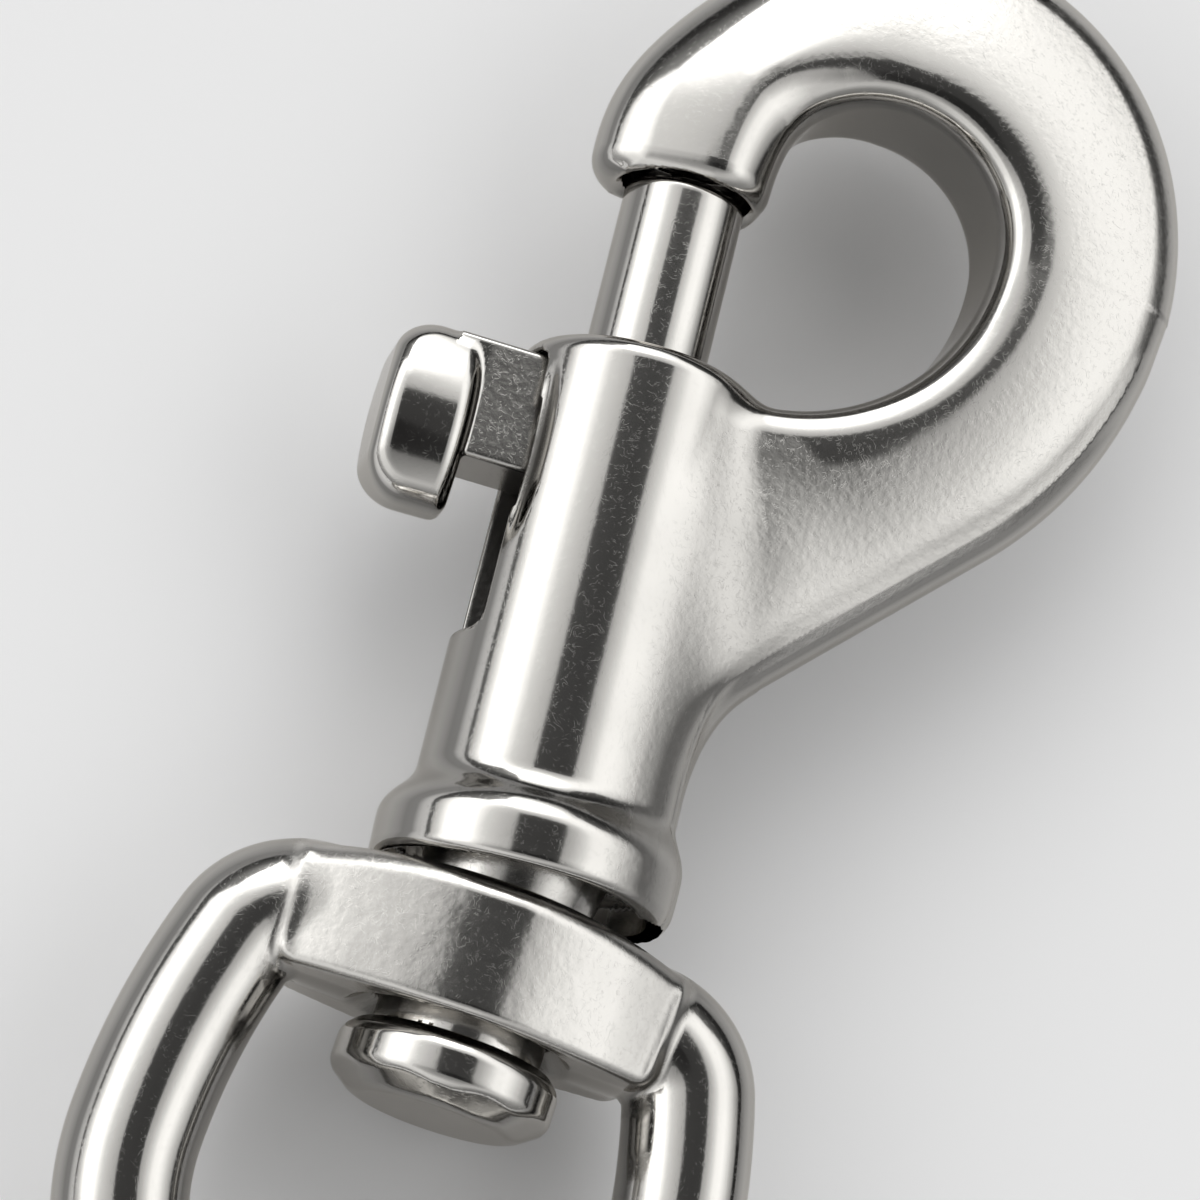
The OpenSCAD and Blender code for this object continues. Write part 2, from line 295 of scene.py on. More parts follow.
def solid(name, field, low, high, step, place=None):
    """Mesh of a field, set on its surface, with the field's own normals."""
    vertices, quads = nets(field, low, high, step)
    vertices = settle(field, vertices, 2)
    for _ in range(3):
        vertices = settle(field, relax(vertices, quads), 2)
    vertices = settle(field, vertices, 2)
    _, gradient = slope_of(field, vertices, 0.03)
    normals = gradient / np.maximum(np.linalg.norm(gradient, axis=1, keepdims=True), 1e-6)
    if place is not None:
        vertices = vertices @ place[0].T + place[1]
        normals = normals @ place[0].T
    return new_object(name, vertices, quads, normals), vertices


def leaning():
    """Turn and shift from the pin's own frame into the row frame."""
    a = math.radians(LEAN)
    turn = np.array([[math.cos(a), math.sin(a), 0], [-math.sin(a), math.cos(a), 0], [0, 0, 1]])
    return turn, np.array([0, PIVOT_Y, 0])


def true_distance(field):
    """The field divided by its own steepness, so that blends keep their size."""

    def scaled(x, y, z):
        h = 0.04
        value = field(x, y, z)
        gx = field(x + h, y, z) - value
        gy = field(x, y + h, z) - value
        gz = field(x, y, z + h) - value
        return value / np.maximum(np.sqrt(gx * gx + gy * gy + gz * gz) / h, 0.25)

    return scaled


def rod_y(x, y, z, r, low, high, edge=0.0):
    side = np.hypot(x, z) - r
    ends = np.maximum(low - y, y - high)
    return outer_round(side, ends, edge)


# Hook ------------------------------------------------------------------------------------------


def in_upper(x, y):
    """True in the bow and the nose, false in the bowl and the web."""
    return (y > BOW[1]) | ((x < BOW[0]) & (y > 0))


def from_inner(x, y):
    """Distance into the metal from the line round the hook's opening."""
    circle = np.hypot(x - BOW[0], y - BOW[1]) - BOW_R
    upper = -blend(-circle, x - NOSE_IN, BOW_SOFT)
    lower = np.hypot(np.maximum(x - BOWL_X, 0), y - BOW[1]) - BOWL_R
    return np.where(in_upper(x, y), upper, lower)


def bow_angle(x, y):
    """Direction from the bow's centre, from -90 straight down over 0 at the side to 180 at the nose."""
    a = np.degrees(np.arctan2(y - BOW[1], x - BOW[0]))
    return np.where(a < -90, np.where(y > 0, 180, -90), a)


def from_outer(x, y):
    """Distance into the metal from the outer line of hook, web and rib."""
    a = bow_angle(x, y)
    reach = np.interp(a, REACH_AT, REACH)
    upper = reach - np.hypot(x - BOW[0], y - BOW[1])
    dx, dy = x - BOWL_X, y - BOW[1]
    turn = np.degrees(np.arctan2(dy, dx))
    round_part = WEB_R + SIDE_EXTRA * np.clip((turn + 45) / 45, 0, 1) ** 2 - np.hypot(dx, dy)
    flat_part = WEB_R - (dx - dy) * math.sqrt(0.5)
    web = np.where(turn > -45, round_part, flat_part)
    fx, fy = x - FILLET[0], y - FILLET[1]
    in_fillet = (fy > 0) & (fx + fy < 0)
    web = np.where(in_fillet, np.hypot(fx, fy) - FILLET_R, web)
    web = np.where((fy <= 0) & (fx < 0), RIB_X - x, web)
    return np.where(in_upper(x, y), upper, web)


# How far the hook's outer line lies from the bow's centre, by direction
REACH_AT = np.arange(-90, 181, 1.0)
REACH = np.interp(
    REACH_AT,
    [-90, 0, 15, 30, 45, 60, 75, 90, 105, 120, 135, 150, 165, 180],
    [16.25, 16.25, 16.48, 16.86, 17.16, 17.25, 17.1, 16.66, 15.95, 15.2, 14.62, 14.58, 14.84, 14.62],
)
REACH -= 0.05
for _ in range(75):
    REACH[1:-1] = 0.25 * REACH[:-2] + 0.5 * REACH[1:-1] + 0.25 * REACH[2:]


def crest_from_inner(a):
    """How far the bar's crest lies from its inner line, by direction."""
    return np.interp(a, [-90, -30, 0, 45, 90, 120, 150, 180], [1.8, 1.9, 1.95, 1.9, 1.7, 2.2, 3.0, 3.3])


def rim_share(a):
    """How much of the flat rim there is: all of it under the web, none in the bow."""
    return 1 - ease((a + 35) / 45)


def bar_body(x, y, z):
    """The bar and the web, without the rim: a crest near the opening, and a fall to the outer line."""
    inner, outer, a = from_inner(x, y), from_outer(x, y), bow_angle(x, y)
    crest = crest_from_inner(a)
    high = np.abs(z)
    lift = LIFT * np.exp(-(((x - LIFT_X) / LIFT_WIDTH) ** 2)) * ease((-8 - y) / 5)
    high = high - lift
    inside = high - CREST_Z + np.maximum(crest - inner, 0) ** 2 / CREST_CURVE
    run = np.maximum(inner - crest - CREST_FLAT, 0)
    t = run / np.maximum(inner + outer - crest - WEB_RIM, 0.5)
    q = (np.maximum(high - WEB_LOW, 0) / (CREST_Z - WEB_LOW)) ** 2 + t**1.5
    web = (np.sqrt(np.maximum(q, 1e-9)) - 1) * (CREST_Z - WEB_LOW)
    t = run / np.maximum(inner + outer - crest - BOW_FALL, 0.5)
    top = high - CREST_Z + BOW_FALL * t ** (1.6 - 0.35 * ease((a - 110) / 50))
    bow = outer_round(top, high**2 / SIDE_CURVE - outer, BOW_EDGE_R)
    return np.where(inner < crest, inside, bow + (web - bow) * rim_share(a))


even_bar = true_distance(bar_body)


def hook_field(x, y, z):
    """The whole casting, with its bore, chamber, pocket, slot and scoop cut out."""
    inner, outer = from_inner(x, y), from_outer(x, y)
    a = bow_angle(x, y)
    body = outer_round(-inner, even_bar(x, y, z), INNER_EDGE_R)
    share = ease(2 * rim_share(a))
    rim_top = RIB_Z - 0.2 + 0.3 * share - RIM_SLOPE * np.maximum(0.9 - outer, -0.35)
    rim = outer_round(0.86 * (np.abs(z) - rim_top), z**2 / SIDE_CURVE - outer + 0.1, RIM_EDGE_R)
    rim = np.maximum(rim, outer - RIM_WIDTH) + 0.5 * (1 - share)
    rim = np.maximum(rim, COLLAR_Y + 2 - y)
    rim = np.maximum(rim, 3 - x)
    bar = blend(body, rim, RIM_SOFT)
    nose_end = np.where((x < BOW[0]) & (y > 0), NOSE_Y - y, -9)
    bar = outer_round(bar, nose_end, NOSE_EDGE_R)
    bar = np.where(y < 0.5, outer_round(bar, BAR_START_X - x, 1.0), bar)
    barrel = rod_y(x, y, z, BARREL_R, COLLAR_Y + 1, BARREL_TOP, BARREL_EDGE_R)
    soft = 1.3 + 1.4 * ease((-7 - y) / 7)
    whole = blend(barrel, bar, soft)
    r = np.hypot(x, z)
    collar = outer_round(r - COLLAR_R, COLLAR_Y - y, COLLAR_EDGE_R)
    collar = outer_round(collar, y - SHOULDER_Y, SHOULDER_R)
    whole = hollow_round(whole, collar, COLLAR_FILLET)
    bore = np.maximum(r - BORE_R, np.maximum(CHAMBER_Y - y, y))
    pocket = np.maximum(r - POCKET_R, np.maximum(-y, y - POCKET_TOP))
    flare = np.maximum((r + y - POCKET_R - NOSE_Y - POCKET_FLARE) * 0.707, -y)
    hollow = np.maximum(r - HOLLOW_R, y - LIP_Y)
    lip = np.maximum(r - LIP_R, y - CHAMBER_Y - 0.1)
    chamber = np.maximum(r - CHAMBER_R, np.maximum(CHAMBER_Y - y, y - 2 * PIVOT_Y + CHAMBER_Y))
    slot = outer_round(np.abs(z) - SLOT_Z, np.maximum(SLOT_LOW - y, y - SLOT_HIGH), SLOT_EDGE_R)
    slot = np.maximum(slot, x + 1)
    depth = SCOOP_DEPTH * (1 - ((y - SCOOP_Y) / SCOOP_HALF) ** 2)
    away = BARREL_R + SCOOP_R - depth
    turn = math.radians(SCOOP_TURN)
    scoop = np.hypot(x + away * math.sin(turn), z - away * math.cos(turn)) - SCOOP_R
    cuts = np.minimum.reduce([bore, pocket, flare, hollow, lip, chamber, slot])
    whole = outer_round(whole, -scoop, 0.06)
    return outer_round(whole, -cuts, CUT_EDGE_R)


# Knob ------------------------------------------------------------------------------------------


def knob_field(x, y, z):
    """The domed button, its neck in the slot, and the stem in the bolt."""
    cy = y - BUTTON_MID
    mid = (BUTTON_IN + BUTTON_OUT) / 2
    half = (BUTTON_IN - BUTTON_OUT) / 2
    plan = outer_round(-(x - mid) - half + 0.012 * cy**2, np.abs(cy) - BUTTON_HALF, 2.0)
    plan = outer_round(plan, x - mid - half, 0.6)
    crown = np.hypot(cy, np.abs(z) + CROWN_R - BUTTON_Z) - CROWN_R + (x - mid + 0.3) ** 2 / 50
    button = outer_round(plan, crown, CROWN_EDGE_R)
    neck = outer_round(np.abs(y - NECK_MID) - NECK_HALF, np.abs(z) - NECK_Z, 0.3)
    neck = np.maximum(neck, np.maximum(x + 3.2, BUTTON_IN - 1.5 - x))
    stem = np.maximum(np.hypot(y - NECK_MID, z) - STEM_R, np.maximum(x - STEM_IN, -6 - x))
    return np.minimum(hollow_round(button, neck, 0.2), stem)


# Eye -------------------------------------------------------------------------------------------


def eye_line(u, v):
    """Distance from the middle line of the eye's bar."""
    u = np.abs(u)
    bottom = np.abs(np.hypot(u, v - EYE_END) - EYE_HALF)
    cx = EYE_HALF - SIDE_R
    side = np.abs(np.hypot(u - cx, v - EYE_END) - SIDE_R)
    corner = np.abs(np.hypot(u - CORNER[0], v - CORNER[1]) - CORNER_R)
    top = np.abs(v - CORNER[1] - CORNER_R)
    turn = np.degrees(np.arctan2(v - EYE_END, u - cx))
    turn_c = np.degrees(np.arctan2(v - CORNER[1], u - CORNER[0]))
    upper = np.where((turn_c > SIDE_TURN) & (turn_c < 90), corner, 99)
    upper = np.minimum(upper, np.where(u < CORNER[0], top, 99))
    upper = np.minimum(upper, np.where((turn >= 0) & (turn <= SIDE_TURN), side, 99))
    return np.where(v < EYE_END, bottom, upper)


def boss_ends(u, v):
    """Distance past the boss's sloping ends, below zero between them."""
    return np.abs(u - BOSS_U) - BOSS_HALF - BOSS_FLARE * (v - BOSS_MID)


def eye_field(u, v, z):
    """The ring with its boss, and the bore that the pin runs in."""
    bar = np.hypot(eye_line(u, v), z) - EYE_R
    ends = boss_ends(u, v)
    bead = 0.14 * np.exp(-(((ends + 0.4) / 0.35) ** 2))
    fall = 0.2 * (np.sqrt(4 + u * u) - 2) + 0.0155 * u * u
    face = (np.abs(z) - BOSS_FACE + fall - bead) * 0.93
    top = BOSS_TOP - 0.95 * np.minimum(np.abs(u - BOSS_U) / BOSS_HALF, 1.15) ** 2.6
    boss = outer_round(face, v - top, BOSS_EDGE_R)
    sides = outer_round(BOSS_LOW - v, ends, BOSS_END_R)
    boss = outer_round(boss, sides, BOSS_CORNER_R)
    whole = hollow_round(boss, bar, BOSS_FILLET)
    r = np.hypot(u, z)
    hole = r - SHANK_R - 0.1
    mouth = r - MOUTH_R + np.maximum(v - BOSS_LOW, 0)
    bore = np.maximum(np.minimum(hole, mouth), BOSS_LOW - 1.5 - v)
    return outer_round(whole, -bore, CUT_EDGE_R)


# Pin -------------------------------------------------------------------------------------------


def pin_field(u, v, z):
    """Flange, shank and button head, with hand-filed facets under the head."""
    r = np.hypot(u, z)
    waist = 0.18 * np.clip(-2.6 - v, 0, 2.2)
    shank = np.maximum(r - SHANK_R + waist, np.maximum(v, HEAD_TOP - 0.5 - v))
    flange = outer_round(r - FLANGE_R, np.abs(v) - FLANGE_HALF, 0.15)
    head = outer_round(r - HEAD_R, (r - HEAD_R + v - HEAD_TOP + HEAD_BEVEL) * math.sqrt(0.5), 0.25)
    head = outer_round(head, v - HEAD_TOP, 0.12)
    up = v - HEAD_LOW
    head = outer_round(head, (r - HEAD_R) * 0.581 - (up - 1.0) * 0.814, 0.35)
    head = outer_round(head, -up, 0.25)
    for turn, cut in FACETS:
        a = math.radians(turn)
        side = (u * math.sin(a) + z * math.cos(a)) * 0.62 - up * 0.785 - 2.55 + cut
        head = outer_round(head, side, 0.08)
    return np.minimum(np.minimum(shank, flange), head)


# Turned bolt and coiled spring ------------------------------------------------------------------


def lathe(name, profile, sides=120):
    """Solid turned about the Y axis from points of radius and level."""
    ring = np.radians(np.arange(sides) * 360 / sides)
    rows = profile[1:-1]
    vertices = [(0, profile[0][1], 0), (0, profile[-1][1], 0)]
    for r, y in rows:
        vertices += [(r * math.sin(a), y, r * math.cos(a)) for a in ring]
    faces = []
    for j in range(len(rows) - 1):
        for i in range(sides):
            k = (i + 1) % sides
            a, b = 2 + j * sides, 2 + (j + 1) * sides
            faces.append((a + i, a + k, b + k, b + i))
    last = 2 + (len(rows) - 1) * sides
    for i in range(sides):
        k = (i + 1) % sides
        faces.append((0, 2 + k, 2 + i))
        faces.append((1, last + i, last + k))
    return new_object(name, np.array(vertices, float), faces)


def rounded(c, r, start, end, n):
    """Points of an arc about c."""
    return [
        (c[0] + r * math.cos(math.radians(start + (end - start) * i / n)),
         c[1] + r * math.sin(math.radians(start + (end - start) * i / n)))
        for i in range(n + 1)
    ]


def bolt_profile():
    """Points of the bolt's half outline, from the bottom centre to the top centre."""
    low = [(0, BOLT_BOTTOM), (BOLT_R - 0.4, BOLT_BOTTOM)]
    low += rounded((BOLT_R - 0.3, BOLT_BOTTOM + 0.3), 0.3, -90, 0, 6)
    side = [(BOLT_R, y) for y in np.linspace(BOLT_BOTTOM + 0.4, BOLT_TOP - 0.8, 24)]
    top = rounded((BOLT_R - 0.7, BOLT_TOP - 0.7), 0.7, 0, 90, 12) + [(BOLT_R - 0.8, BOLT_TOP), (0, BOLT_TOP)]
    return low + side + top


def coil(name, low, high, radius, wire, turns):
    """Open-ended helix of round wire about the Y axis."""
    steps, sides = 48, 14
    vertices, faces = [], []
    total = turns * steps
    for i in range(total + 1):
        a = 2 * math.pi * i / steps
        y = low + (high - low) * i / total
        for k in range(sides):
            b = 2 * math.pi * k / sides
            r = radius + wire * math.cos(b)
            vertices.append((r * math.cos(a), y + wire * math.sin(b), -r * math.sin(a)))
    for i in range(total):
        for k in range(sides):
            m = (k + 1) % sides
            faces.append((i * sides + k, (i + 1) * sides + k, (i + 1) * sides + m, i * sides + m))
    faces.append(tuple(range(sides)))
    faces.append(tuple(reversed([total * sides + k for k in range(sides)])))
    return new_object(name, np.array(vertices, float), faces)


# Shader nodes ------------------------------------------------------------------------------------


def math_node(tree, kind, *values):
    """A sum or the like, of sockets and plain numbers."""
    node = tree.nodes.new("ShaderNodeMath")
    node.operation = kind
    for socket, value in zip(node.inputs, values):
        if isinstance(value, (int, float)):
            socket.default_value = value
        else:
            tree.links.new(value, socket)
    return node.outputs[0]


def step_node(tree, value, low, high):
    """A soft step from nothing at low to one at high."""
    node = tree.nodes.new("ShaderNodeMapRange")
    node.interpolation_type = "SMOOTHSTEP"
    node.inputs["From Min"].default_value = low
    node.inputs["From Max"].default_value = high
    tree.links.new(value, node.inputs["Value"])
    return node.outputs[0]


def curve_node(tree, value, stops):
    """Value read off a ramp of (position, level)."""
    node = tree.nodes.new("ShaderNodeValToRGB")
    elements = node.color_ramp.elements
    while len(elements) < len(stops):
        elements.new(0.5)
    for element, (position, level) in zip(elements, stops):
        element.position = position
        element.color = (level, level, level, 1)
    tree.links.new(value, node.inputs[0])
    return node.outputs[0]


# Materials ---------------------------------------------------------------------------------------

# Brightness of the plate by how far it turns from the view, 0 facing and 1 edge on: painted shade on the
# edges, darkest in a thin band that paints the reflected dark horizon
PAINTED_EDGE_SHADE = (
    (0.0, 1.0),
    (0.25, 1.0),
    (0.31, 0.75),
    (0.35, 0.36),
    (0.42, 0.34),
    (0.47, 0.46),
    (0.6, 0.68),
    (1.0, 0.85),
)


def metal(name, color, rough):
    """Polished plate with fine hair scratches. Satin dulls it and peel makes it uneven. The third value
    paints shade into its colour, and below zero paints a highlight.
    """
    material = bpy.data.materials.new(name)
    material.use_nodes = True
    tree = material.node_tree
    nodes, links = tree.nodes, tree.links
    shader = nodes["Principled BSDF"]
    shader.inputs["Metallic"].default_value = 1.0
    shader.inputs["Specular Tint"].default_value = (0.8, 0.78, 0.75, 1)
    place = nodes.new("ShaderNodeTexCoord")

    def noise(scale, detail, shift=0.0, warp=0.0):
        mapping = nodes.new("ShaderNodeMapping")
        mapping.inputs["Location"].default_value = (shift, 0.7 * shift, 0.3 * shift)
        links.new(place.outputs["Object"], mapping.inputs["Vector"])
        texture = nodes.new("ShaderNodeTexNoise")
        texture.inputs["Scale"].default_value = scale
        texture.inputs["Detail"].default_value = detail
        texture.inputs["Distortion"].default_value = warp
        links.new(mapping.outputs["Vector"], texture.inputs["Vector"])
        return texture.outputs["Fac"]

    def calc(kind, *values):
        return math_node(tree, kind, *values)

    def ramp(value, low, high):
        return step_node(tree, value, low, high)

    def less(share, value):
        """What is left of one after a share of a value."""
        return calc("SUBTRACT", 1.0, calc("MULTIPLY", value, share))

    def wave(scale, detail, height, shift=0.0):
        """Height of a soft unevenness."""
        return calc("MULTIPLY", calc("SUBTRACT", noise(scale, detail, shift), 0.5), height)

    def hair(scale, shift):
        """Thin wandering lines, broken into short pieces."""
        away = calc("ABSOLUTE", calc("SUBTRACT", noise(scale, 1.0, shift, 1.2), 0.5))
        pieces = ramp(noise(1.4 * scale, 0.0, 2 * shift), 0.52, 0.62)
        return calc("MULTIPLY", ramp(away, 0.02, 0.0), pieces)

    def attribute(key):
        node = nodes.new("ShaderNodeAttribute")
        node.attribute_name = key
        return node.outputs["Fac"]

    satin, peel, painted_shading = attribute("satin"), attribute("peel"), attribute("painted_shading")
    hairs = calc("MAXIMUM", hair(1700, 0.13), hair(2500, 0.41))
    worn = noise(160, 2.0)

    shine = calc("ADD", rough, calc("MULTIPLY", satin, 0.2))
    shine = calc("ADD", shine, calc("MULTIPLY", peel, 0.05))
    shine = calc("ADD", shine, calc("MULTIPLY", calc("SUBTRACT", worn, 0.5), 0.08))
    shine = calc("ADD", shine, calc("MULTIPLY", hairs, 0.03))
    links.new(shine, shader.inputs["Roughness"])

    # Painted shade on the edges, by how far each point turns from the view
    facing = nodes.new("ShaderNodeLayerWeight")
    facing.inputs["Blend"].default_value = 0.5
    level = curve_node(tree, facing.outputs["Facing"], PAINTED_EDGE_SHADE)
    level = calc("MULTIPLY", level, less(0.08, ramp(worn, 0.4, 0.8)))
    level = calc("MULTIPLY", level, less(0.1, satin))
    # Painted shade where the third value is above zero, painted highlight where it is below zero
    level = calc("MULTIPLY", level, less(0.7, painted_shading))
    tint = nodes.new("ShaderNodeMix")
    tint.data_type = "RGBA"
    tint.inputs[6].default_value = (0, 0, 0, 1)
    tint.inputs[7].default_value = (*color, 1)
    links.new(level, tint.inputs[0])
    links.new(tint.outputs[2], shader.inputs["Base Color"])

    height = calc("MULTIPLY", hairs, calc("ADD", 0.0009, calc("MULTIPLY", satin, 0.002)))
    height = calc("ADD", height, wave(300, 2.0, 0.008))
    height = calc("ADD", height, calc("MULTIPLY", wave(2300, 2.0, 0.02), calc("ADD", satin, 0.08)))
    height = calc("ADD", height, calc("MULTIPLY", wave(420, 3.0, 0.055, 0.2), peel))
    bump = nodes.new("ShaderNodeBump")
    bump.inputs["Distance"].default_value = MM
    bump.inputs["Strength"].default_value = 1.0
    links.new(height, bump.inputs["Height"])
    links.new(bump.outputs["Normal"], shader.inputs["Normal"])
    return material


def mark(obj, satin, peel=0.0, painted_shading=0.0):
    """How dull and how uneven each point is, and how much painted shade its colour carries. Below zero that
    last value paints a highlight instead.
    """
    for key, value in (("satin", satin), ("peel", peel), ("painted_shading", painted_shading)):
        attribute = obj.data.attributes.new(key, "FLOAT", "POINT")
        values = np.zeros(len(obj.data.vertices)) + value
        attribute.data.foreach_set("value", np.clip(values, -1, 1).astype(np.float32))


# Pieces ------------------------------------------------------------------------------------------

coarse = 1.0
NICKEL = (0.66, 0.645, 0.62)

nickel = metal("nickel", NICKEL, 0.1)
spring_steel = metal("spring_steel", (0.42, 0.41, 0.4), 0.28)


def dress(obj, body, node, material):
    """Piece that rides its body in place of a node of the model."""
    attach(obj, body)
    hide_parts(node)
    obj.data.materials.append(material)


hook, at = solid("hook_casting", hook_field, (-7.4, -31.5, -7.4), (25.8, 22.5, 7.4), 0.23 * coarse)
x, y, z = at.T
inner, outer, turn = from_inner(x, y), from_outer(x, y), bow_angle(x, y)
start = 1.1 - 1.3 * ease((9.5 - x) / 2) * (y < 0)
web = ease((inner - crest_from_inner(turn) - start) / 0.5) * ease((x - 1.5) / 3) * (y < 20)
web = web * (0.6 + 0.4 * ease((-4 - y) / 8)) * (0.5 + 0.5 * ease((outer - 0.9) / 0.5))
web = web * ease((np.abs(z) - 1) / 1)
away = np.hypot(x, z)
slot = ease((5.85 - away) / 0.2) * (x < -1.3) * (y < SLOT_HIGH + 0.3) * (y > SLOT_LOW - 0.3)
# Painted shade deep in the bolt pocket and the collar chamber
recess_shade = (away < POCKET_R + 0.15) * (y > NOSE_Y + 0.5) * (y < POCKET_TOP + 0.3)
recess_shade = np.maximum(recess_shade, (away < CHAMBER_R + 0.2) * (y < LIP_Y + 0.3))
# Painted highlight: the web paler towards its outer part
painted_highlight = 0.4 * web * ease((x - 8) / 4)
# The slot is both satin and darkened with painted shade
mark(hook, np.maximum(web, slot), 0.06, np.maximum(0.8 * slot, 0.7 * recess_shade) - painted_highlight)
dress(hook, "hook", "hook_body", nickel)

bolt = lathe("bolt_rod", bolt_profile())
mark(bolt, 0.0)
dress(bolt, "bolt", "bolt", nickel)

knob, at = solid("thumb_button", knob_field, (-12.5, -14.9, -3.3), (1.2, -5.3, 3.3), 0.12 * coarse)
mark(knob, 0.55 * ease((at[:, 0] + 8.0) / 0.3))
dress(knob, "bolt", "thumb_knob", nickel)

spring = coil("gate_spring", SPRING_LOW, SPRING_HIGH, SPRING_R, SPRING_WIRE, SPRING_TURNS)
mark(spring, 0.0)
dress(spring, "hook", "bolt_spring", spring_steel)
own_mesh(spring)

place = leaning()
pin, at = solid("loose_pin", pin_field, (-5.5, -15.4, -5.5), (5.5, 0.8, 5.5), 0.16 * coarse, place)
local = (at - place[1]) @ place[0]
mark(pin, 0.3 * ease((local[:, 1] - HEAD_TOP - 0.3) / 0.3), 0.6 * ease((local[:, 1] - HEAD_TOP - 0.3) / 0.3))
dress(pin, "pin", "swivel_pin", nickel)

eye, at = solid("eye_ring", eye_field, (-16.3, -36.7, -6.2), (16.3, -4.4, 6.2), 0.26 * coarse, place)
local = (at - place[1]) @ place[0]
u, v, z = local.T
ends = boss_ends(u, v)
on_boss = (v > BOSS_LOW - 0.2) * (ends < 0.1)
seam = np.exp(-(((ends + 0.1) / 0.45) ** 2)) * (v > BOSS_LOW - 1)
face = on_boss * ease((np.abs(z) - 1.5) / 1)
dull = 0.05 + 0.4 * ease((np.abs(u + 1) - 1.7) / 0.7)
# Painted highlight on the boss face left of the middle and just right of it, and painted shade towards its
# right end
painted_highlight = 0.7 * face * ease((-u - 2.6) / 0.4) + 0.5 * face * ease((u - 0.5) / 0.4) * ease((7 - u) / 3)
mark(eye, np.maximum(0.9 * seam, dull * face), np.maximum(0.05, face), 0.2 * face * ease((u - 5) / 3) - painted_highlight)
dress(eye, "eye", "swivel_eye", nickel)

# Floor ---------------------------------------------------------------------------------------------

FLOOR_Z = cad_box[0][2]
floor_mesh = bpy.data.meshes.new("floor")
FLOOR_HALF = 3.0
floor_corners = [(FLOOR_HALF * i, FLOOR_HALF * j, FLOOR_Z) for i, j in ((-1, -1), (1, -1), (1, 1), (-1, 1))]
floor_mesh.from_pydata(floor_corners, [], [(0, 1, 2, 3)])
floor = bpy.data.objects.new("floor", floor_mesh)
bpy.context.scene.collection.objects.link(floor)
paper = bpy.data.materials.new("paper")
paper.use_nodes = True
sheet = paper.node_tree.nodes["Principled BSDF"]
sheet.inputs["Base Color"].default_value = (0.93, 0.93, 0.94, 1)
sheet.inputs["Roughness"].default_value = 0.9
sheet.inputs["Specular IOR Level"].default_value = 0.2
floor_mesh.materials.append(paper)


# Studio ----------------------------------------------------------------------------------------------


# Brightness of the side boxes by angle from straight up, as a share of 180 degrees
LEFT_BOX = (
    (0.0, 0.4),
    (0.09, 0.5),
    (0.17, 0.74),
    (0.235, 1.0),
    (0.27, 1.5),
    (0.3, 2.0),
    (0.40, 2.0),
    (0.425, 1.4),
    (0.45, 0.9),
    (0.49, 0.6),
    (0.52, 0.6),
)
RIGHT_BOX = (
    (0.0, 0.4),
    (0.09, 0.45),
    (0.15, 0.64),
    (0.2, 1.0),
    (0.235, 1.4),
    (0.3, 1.5),
    (0.34, 1.25),
    (0.38, 0.9),
    (0.42, 0.65),
    (0.49, 0.5),
    (0.52, 0.6),
)
# Their brightness from the near end, 0, to the far end, 1
WIDE = ((0.0, 0.42), (0.25, 0.55), (0.4, 0.85), (0.5, 1.0), (0.7, 1.0), (1.0, 1.05))
# Height of the dark horizon, as a share of 90 degrees, by turn from -X round through -Y, +X and +Y
HORIZON = (
    (0.0, 0.035),
    (0.04, 0.0),
    (0.46, 0.0),
    (0.5, 0.08),
    (0.56, 0.1),
    (0.6, 0.18),
    (0.64, 0.3),
    (0.69, 0.26),
    (0.72, 0.09),
    (0.78, 0.09),
    (0.81, 0.26),
    (0.86, 0.3),
    (0.9, 0.14),
    (0.94, 0.06),
    (1.0, 0.035),
)
# The bright patch at the far end
KEY_TOWARD = (-0.147, 0.835, 0.53)
KEY_SIZE = 21.0
KEY_SOFT = 7.0
KEY_LEVEL = 1.1
# The dark gap overhead: half its size across and along, in degrees
GAP_ACROSS = 19.0
GAP_ALONG = 23.0
GAP_SOFT = 1.5
GAP_SHIFT = 0.3
DARK = 0.87


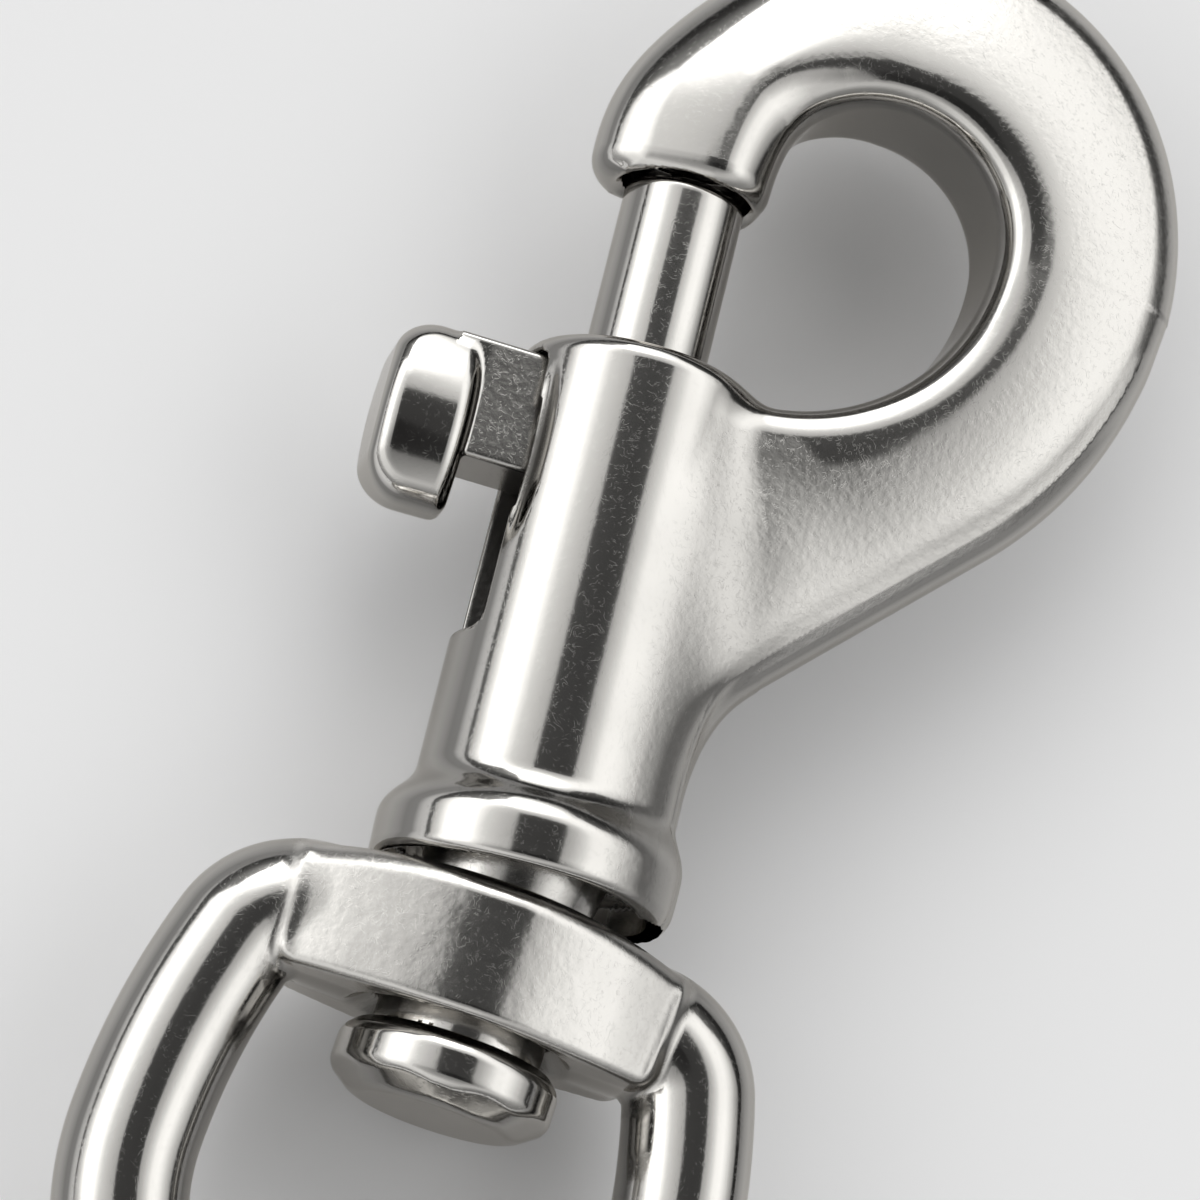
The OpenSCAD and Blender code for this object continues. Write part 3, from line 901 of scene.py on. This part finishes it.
def studio():
    """A light tent round the object: side boxes, a dark gap overhead, and a thin dark horizon."""
    world = bpy.data.worlds.new("studio")
    bpy.context.scene.world = world
    world.use_nodes = True
    tree = world.node_tree
    nodes, links = tree.nodes, tree.links
    background = nodes["Background"]
    place = nodes.new("ShaderNodeTexCoord")
    split = nodes.new("ShaderNodeSeparateXYZ")
    links.new(place.outputs["Generated"], split.inputs[0])
    x, y, z = split.outputs

    def calc(kind, *values):
        return math_node(tree, kind, *values)

    def degrees(value):
        return calc("MULTIPLY", value, 57.29578)

    def window(value, edge, soft):
        """One where the value lies below the edge, with a soft step."""
        return step_node(tree, value, edge + soft, edge - soft)

    polar = degrees(calc("ARCCOSINE", z))
    scaled = calc("DIVIDE", polar, 180.0)
    left_box = curve_node(tree, scaled, LEFT_BOX)
    right_box = curve_node(tree, scaled, RIGHT_BOX)
    flat = calc("SQRT", calc("ADD", calc("MULTIPLY", x, x), calc("MULTIPLY", y, y)))
    share = calc("DIVIDE", x, calc("MAXIMUM", flat, 0.001))
    side = nodes.new("ShaderNodeMix")
    side.data_type = "FLOAT"
    links.new(window(share, 0.0, 0.4), side.inputs[0])
    links.new(right_box, side.inputs[2])
    links.new(left_box, side.inputs[3])
    along = calc("MULTIPLY_ADD", calc("DIVIDE", y, calc("MAXIMUM", flat, 0.001)), 0.5, 0.5)
    light = calc("MULTIPLY", side.outputs[0], curve_node(tree, along, WIDE))
    toward = [calc("MULTIPLY", part, share) for part, share in zip((x, y, z), KEY_TOWARD)]
    toward = calc("ADD", calc("ADD", toward[0], toward[1]), toward[2])
    key = window(degrees(calc("ARCCOSINE", toward)), KEY_SIZE, KEY_SOFT)
    light = calc("ADD", light, calc("MULTIPLY", key, KEY_LEVEL))

    lean_x = calc("ABSOLUTE", calc("ADD", degrees(calc("ARCTAN2", x, z)), -GAP_SHIFT))
    lean_y = calc("ABSOLUTE", degrees(calc("ARCTAN2", y, z)))
    overhead = calc("MULTIPLY", window(lean_x, GAP_ACROSS, GAP_SOFT), window(lean_y, GAP_ALONG, GAP_SOFT))
    azimuth = degrees(calc("ARCTAN2", y, x))
    turn = calc("DIVIDE", calc("ADD", azimuth, 180.0), 360.0)
    top = curve_node(tree, turn, HORIZON)
    above = calc("SUBTRACT", calc("SUBTRACT", 90.0, polar), calc("MULTIPLY", top, 90.0))
    horizon = calc("MULTIPLY", window(above, 0.0, GAP_SOFT), calc("GREATER_THAN", top, 0.004))
    dark = calc("MAXIMUM", overhead, horizon)
    light = calc("MULTIPLY", light, calc("SUBTRACT", 1.0, calc("MULTIPLY", dark, DARK)))
    color = nodes.new("ShaderNodeCombineColor")
    links.new(light, color.inputs[0])
    links.new(light, color.inputs[1])
    links.new(calc("MULTIPLY", light, 0.99), color.inputs[2])
    links.new(color.outputs[0], background.inputs["Color"])
    background.inputs["Strength"].default_value = 1.0


studio()

# Camera ------------------------------------------------------------------------------------------------

camera_data = bpy.data.cameras.new("camera")
camera_data.angle = math.radians(15.53)
camera_data.clip_start = 0.01
camera = bpy.data.objects.new("camera", camera_data)
bpy.context.scene.collection.objects.link(camera)
right = (0.94675, 0.23138, 0.22394)
up = (-0.28003, 0.93497, 0.21782)
back = (-0.15897, -0.26892, 0.94995)
spot = (-33.43 * MM, -74.06 * MM, 203.96 * MM)
camera.matrix_world = Matrix([(right[i], up[i], back[i], spot[i]) for i in range(3)] + [(0, 0, 0, 1)])
bpy.context.scene.camera = camera
bpy.context.scene.view_settings.view_transform = "Standard"
